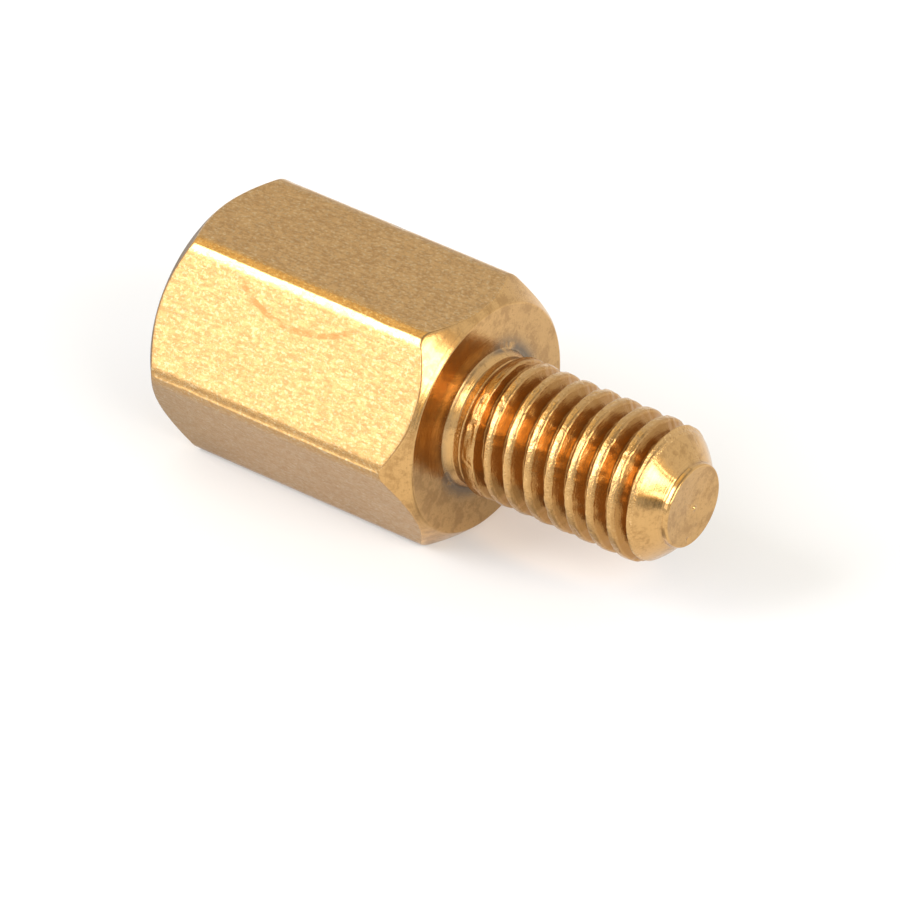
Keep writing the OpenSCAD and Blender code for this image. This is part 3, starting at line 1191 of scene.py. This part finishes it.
def mirrored_shade_sector(tree):
    """Sector of the table that opens from a point, with soft sides, where painted shade goes."""
    off = vector_sums(tree, "SUBTRACT", coordinates(tree), SECTOR_START)
    away = vector_sums(tree, "LENGTH", off)
    side = vector_sums(tree, "DOT_PRODUCT", off, heading(SECTOR_TURN, 0))
    side = sums(tree, "DIVIDE", side, away)
    return product(tree, ramp(tree, side, 0.94, 0.985), ramp(tree, away, *SECTOR_GROWS))


def table_card(studio):
    """Pale card that looks white, in metal and glass too, and keeps the object's shadow. It also
    carries painted light and shade: ovals and a sector seen only in reflections, and a warm glow
    seen only by the camera.
    """
    material, tree, output = new_material("table_card")
    path = tree.nodes.new("ShaderNodeLightPath").outputs
    camera, mirrored = path["Is Camera Ray"], path["Is Glossy Ray"]
    fibre = product(tree, speckle(tree, coordinates(tree), 0.4, seed=1.3), 0.05)
    colour = blend_colours(tree, fibre, rgba(studio.table), rgba(FIBRE_GREY))
    card = place(tree, "ShaderNodeBsdfDiffuse", {"Color": colour}).outputs[0]
    white = both(tree, card, emission(tree, COOL_WHITE, TABLE_GLOW))
    seen = sums(tree, "MAXIMUM", camera, mirrored)
    seen = sums(tree, "MAXIMUM", seen, path["Is Transmission Ray"])
    surface = mix(tree, seen, card, white)
    # Painted light on the table, seen only in reflections
    mirrored_light = product(tree, oval(tree, *MIRRORED_LIGHT_OVAL), mirrored)
    surface = both(tree, surface, emission(tree, MIRRORED_LIGHT_COLOUR, mirrored_light))
    # Painted warm light, seen by the camera alone
    painted_warm = product(tree, oval(tree, *PAINTED_WARM_OVAL), camera, PAINTED_WARM_LEVEL)
    surface = both(tree, surface, emission(tree, PAINTED_WARM_COLOUR, painted_warm))
    # Painted shade on the table, seen only in reflections
    shapes = [(oval(tree, middle, sizes), strength) for middle, sizes, strength in MIRRORED_SHADE_OVALS]
    black = emission(tree, BLACK, 0.0)
    for shape, strength in (*shapes, (mirrored_shade_sector(tree), SECTOR_STRENGTH)):
        surface = mix(tree, product(tree, shape, mirrored, strength), surface, black)
    tree.links.new(surface, output.inputs["Surface"])
    return material


def make_table(scene, studio):
    """Large round card under the object."""
    points, faces = [(0.0, 0.0, LOWEST.z)], []
    for k in range(TABLE_SIDES):
        x, y, _ = heading(360 * k / TABLE_SIDES, 0)
        points.append((TABLE_RADIUS * x, TABLE_RADIUS * y, LOWEST.z))
        faces.append((0, k + 1, (k + 1) % TABLE_SIDES + 1))
    mesh = bpy.data.meshes.new("table")
    mesh.from_pydata(points, [], faces)
    mesh.update()
    mesh.materials.append(table_card(studio))
    table = add_object(scene, "table", mesh)


def make_room(scene, studio):
    """Room light: even, with two dark gaps low down and two warm glows, seen as white."""
    world = bpy.data.worlds.new("room")
    scene.world = world
    world.use_nodes = True
    tree = world.node_tree
    tree.nodes.clear()
    output = tree.nodes.new("ShaderNodeOutputWorld")
    towards = coordinates(tree, "Generated")
    height = place(tree, "ShaderNodeSeparateXYZ", {0: towards}).outputs[2]

    def facing(side):
        """1 in a direction of the room and less the further away from it."""
        return vector_sums(tree, "DOT_PRODUCT", towards, heading(*side))

    dim, bright = studio.room_level, studio.room_level * 1.25
    level = ramp(tree, facing(BRIGHT_SIDE), -0.3, 0.9, start=dim, end=bright)
    ceiling = ramp(tree, height, 0.80, 0.97, start=1.0, end=0.45)
    low_gap = ramp(tree, facing(LOW_GAP), 0.970, 0.990, start=1.0, end=0.6)
    level = product(tree, level, ceiling, low_gap)
    grey = place(tree, "ShaderNodeCombineColor", {0: level, 1: level, 2: level}).outputs[0]
    glows = [ramp(tree, facing(side), *borders) for side, borders in WARM_GLOWS]
    colour = blend_colours(tree, sums(tree, "MAXIMUM", *glows), grey, rgba(WARM_ROOM))
    tip_gap = ramp(tree, facing(TIP_GAP), 0.975, 0.990, start=1.0, end=0.22)
    walls = place(tree, "ShaderNodeBackground", {"Color": colour, "Strength": tip_gap})
    white = place(tree, "ShaderNodeBackground", {"Color": rgba(WHITE), "Strength": 1.0})
    path = tree.nodes.new("ShaderNodeLightPath").outputs
    seen = mix(tree, path["Is Camera Ray"], walls.outputs[0], white.outputs[0])
    tree.links.new(seen, output.inputs["Surface"])


def make_camera(scene, studio):
    """Camera with a long lens, turned round the point that it looks at."""
    turn, lift = studio.azimuth, studio.elevation
    back = Vector((
        math.cos(lift) * math.sin(turn), -math.cos(lift) * math.cos(turn), math.sin(lift)
    ))
    right = Vector((math.cos(turn), math.sin(turn), 0.0))
    up = back.cross(right)
    cosine, sine = math.cos(studio.roll), math.sin(studio.roll)
    tilted_right = right * cosine + up * sine
    tilted_up = up * cosine - right * sine
    turned = Matrix((tilted_right, tilted_up, back)).transposed().to_4x4()
    camera = bpy.data.cameras.new("camera")
    camera.lens = studio.lens
    camera.clip_start, camera.clip_end = 0.001, 10.0
    holder = add_object(scene, "camera", camera)
    holder.matrix_world = Matrix.Translation(AIM + back * studio.distance) @ turned
    scene.camera = holder


class STANDOFF_OT_stage(bpy.types.Operator):
    """Sets the table, the lamps, the room and the camera."""

    bl_idname = "standoff.stage"
    bl_label = "Set the stage"

    def execute(self, context):
        scene = context.scene
        studio = scene.standoff_studio
        make_table(scene, studio)
        make_room(scene, studio)
        for name, side, sizes, turn, level in SOFT_BOXES:
            soft_box(scene, name, side, sizes, turn, getattr(studio, level))
        make_camera(scene, studio)
        scene.view_settings.view_transform = "Standard"
        return {"FINISHED"}


# ---------------------------------------------------------------- add-on


class STANDOFF_PT_panel(bpy.types.Panel):
    """Lists the steps and the values that they use."""

    bl_idname = "STANDOFF_PT_panel"
    bl_label = "Brass standoff"
    bl_space_type = "VIEW_3D"
    bl_region_type = "UI"
    bl_category = "Standoff"

    def draw(self, context):
        for operator in OPERATORS:
            self.layout.operator(operator.bl_idname)
        for name, group in SETTINGS.items():
            box = self.layout.box()
            values = getattr(context.scene, name)
            box.label(text=group.__doc__)
            for key in group.__annotations__:
                box.prop(values, key)


SETTINGS = {
    "standoff_body": StandoffBody,
    "standoff_stud": StandoffStud,
    "standoff_hole": StandoffHole,
    "standoff_finish": StandoffFinish,
    "standoff_studio": StandoffStudio,
}
OPERATORS = (STANDOFF_OT_piece, STANDOFF_OT_stage)
CLASSES = (*SETTINGS.values(), *OPERATORS, STANDOFF_PT_panel)


def register():
    """Adds the classes and puts their values on the scene."""
    for kind in CLASSES:
        bpy.utils.register_class(kind)
    for name, group in SETTINGS.items():
        setattr(bpy.types.Scene, name, bpy.props.PointerProperty(type=group))


def unregister():
    """Takes the values and the classes away again."""
    for name in SETTINGS:
        delattr(bpy.types.Scene, name)
    for kind in reversed(CLASSES):
        bpy.utils.unregister_class(kind)


def main():
    """Makes the piece and its stage."""
    register()
    bpy.ops.standoff.piece()
    bpy.ops.standoff.stage()


if __name__ == "__main__":
    main()
